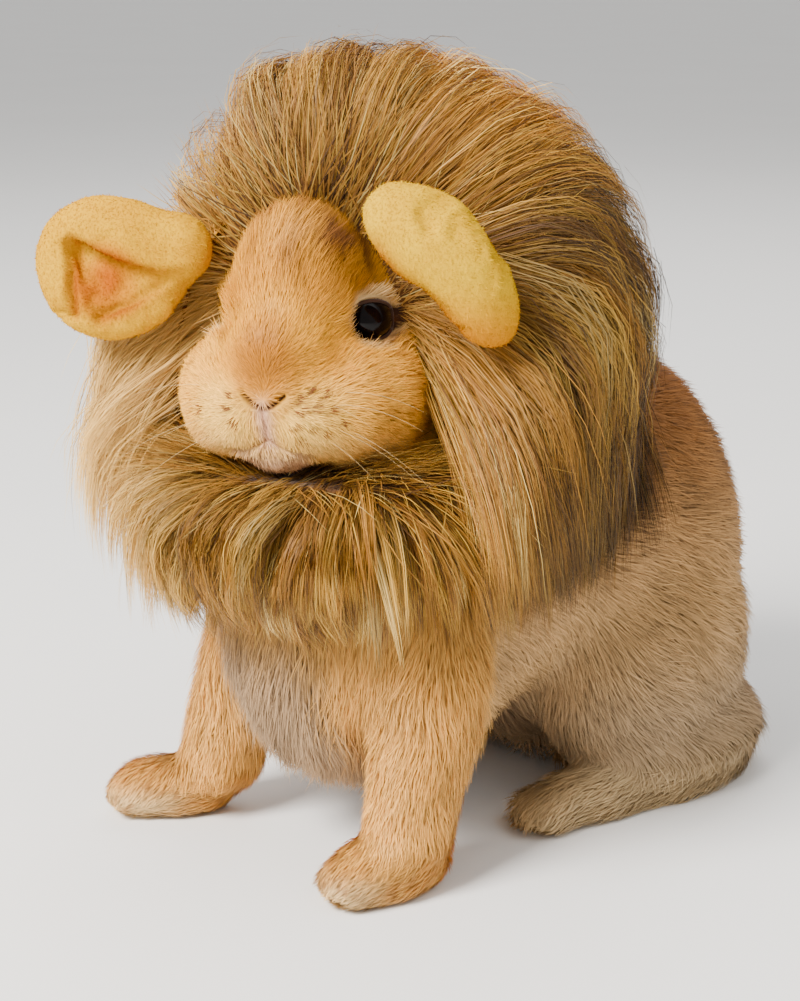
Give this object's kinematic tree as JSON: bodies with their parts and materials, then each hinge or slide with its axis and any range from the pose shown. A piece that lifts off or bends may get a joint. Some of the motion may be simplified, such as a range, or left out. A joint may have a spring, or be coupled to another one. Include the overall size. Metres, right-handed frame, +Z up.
{
  "type": "short-haired lop rabbit wearing a lion's mane hood",
  "caption": "Sitting short-haired lop rabbit, life size, in a long-haired lion's mane hood with stuffed plush ears; one rigid body that stands on its feet.",
  "frame": {"origin": "on the floor, under the middle of the whole model's bounding box", "axes": "+Z up, -Y the way the body faces, +X the rabbit's own left; the head is turned 29.5 degrees towards +X"},
  "size_m": [0.1712, 0.2552, 0.2544],
  "materials": {
    "short_fur": "matt",
    "pale_fur": "matt",
    "eye_brown": "glossy",
    "mane_fur": "satin",
    "hem_cloth": "matt",
    "yellow_plush": "matt"
  },
  "bodies": {
    "root": {"ear_left": "short_fur", "ear_right": "short_fur", "eye_left": "eye_brown", "eye_right": "eye_brown", "foreleg_left": "short_fur", "foreleg_right": "short_fur", "head": "short_fur", "hind_foot_left": "pale_fur", "hind_foot_right": "pale_fur", "hind_leg_left": "short_fur", "hind_leg_right": "short_fur", "hood_hem": "hem_cloth", "mane_bib": "mane_fur", "mane_crown": "mane_fur", "mane_side_left": "mane_fur", "mane_side_right": "mane_fur", "neck": "short_fur", "plush_ear_left": "yellow_plush", "plush_ear_right": "yellow_plush", "tail": "short_fur", "torso": "short_fur"}
  },
  "joints": []
}
